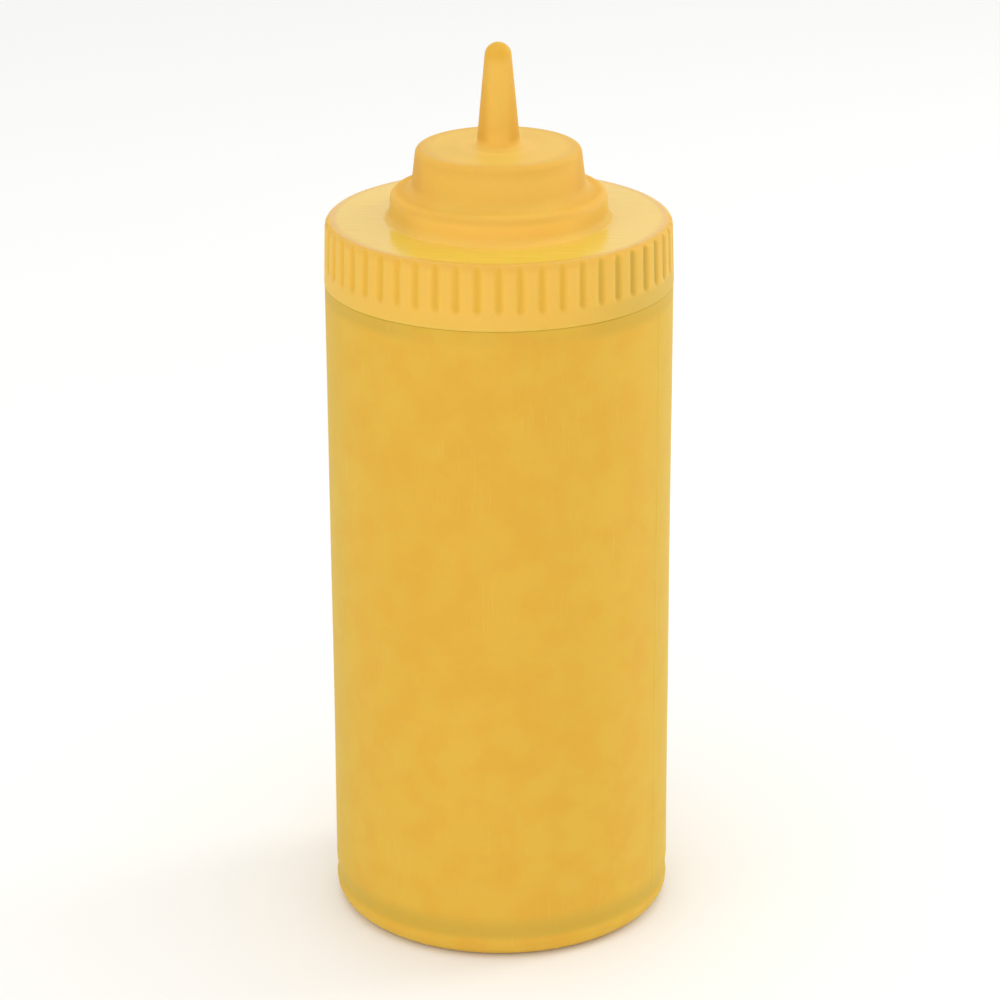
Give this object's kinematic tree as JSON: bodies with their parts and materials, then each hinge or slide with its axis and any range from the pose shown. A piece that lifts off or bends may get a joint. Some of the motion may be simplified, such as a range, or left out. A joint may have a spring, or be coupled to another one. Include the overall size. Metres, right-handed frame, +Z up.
{
  "type": "squeeze bottle",
  "caption": "Round squeeze bottle for sauce: straight soft plastic body with a wide fluted screw lid, stepped on top, and a long tapered nozzle.",
  "frame": {"origin": "centre of the base, at the level the bottle stands on", "axes": "+Z up along the bottle's axis, from the base to the nozzle's tip"},
  "size_m": [0.0884, 0.0884, 0.2308],
  "materials": {
    "bottle": "soft satin polyethylene, yellow throughout, slightly translucent",
    "lid": "glossy moulded polyethylene, yellow throughout, slightly lighter than the bottle"
  },
  "bodies": {
    "root": {"bottle": "bottle", "lid": "lid"}
  },
  "joints": []
}
